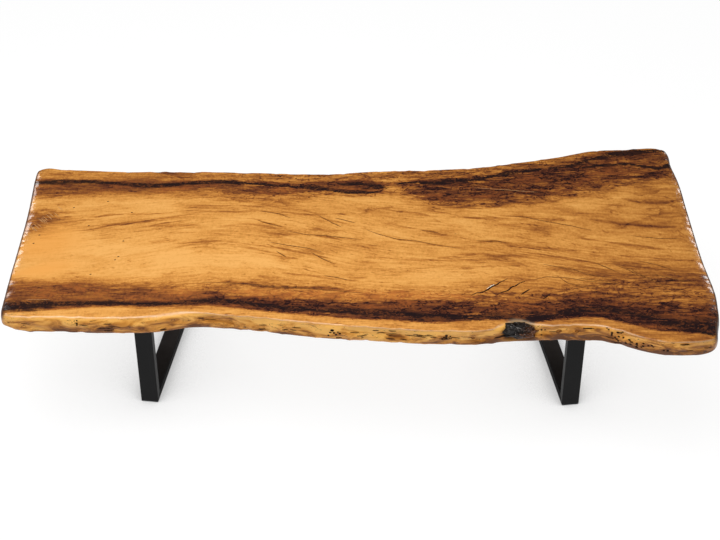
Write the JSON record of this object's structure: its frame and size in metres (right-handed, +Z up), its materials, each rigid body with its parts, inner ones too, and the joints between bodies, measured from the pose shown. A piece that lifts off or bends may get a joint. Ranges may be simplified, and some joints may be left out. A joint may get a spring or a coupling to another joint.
{
  "type": "live edge table",
  "caption": "Low live edge table: a thick glossy wood plank with natural wavy edges and a dark sealed knot, bolted on black steel tube U-frame legs with top plates.",
  "frame": {"origin": "on the floor, under the middle of the overall box", "axes": "+X along the plank, -Y is the front, +Z up"},
  "size_m": [1.9211, 0.9491, 0.433],
  "materials": {
    "oiled_wood": "gloss clear coat",
    "knot_resin": "gloss",
    "black_powder_coat": "satin",
    "bolt_steel": "black oxide",
    "washer_steel": "zinc plated",
    "insert_brass": "plain",
    "glide_rubber": "matte"
  },
  "bodies": {
    "root": {"slab": "oiled_wood", "knot_fill": "knot_resin", "left_top_plate": "black_powder_coat", "left_front_upright": "black_powder_coat", "left_rear_upright": "black_powder_coat", "left_floor_rail": "black_powder_coat", "left_plate_welds": "black_powder_coat", "left_plate_bolts": "bolt_steel", "left_plate_washers": "washer_steel", "left_threaded_inserts": "insert_brass", "left_floor_glides": "glide_rubber", "right_top_plate": "black_powder_coat", "right_front_upright": "black_powder_coat", "right_rear_upright": "black_powder_coat", "right_floor_rail": "black_powder_coat", "right_plate_welds": "black_powder_coat", "right_plate_bolts": "bolt_steel", "right_plate_washers": "washer_steel", "right_threaded_inserts": "insert_brass", "right_floor_glides": "glide_rubber"}
  },
  "joints": []
}
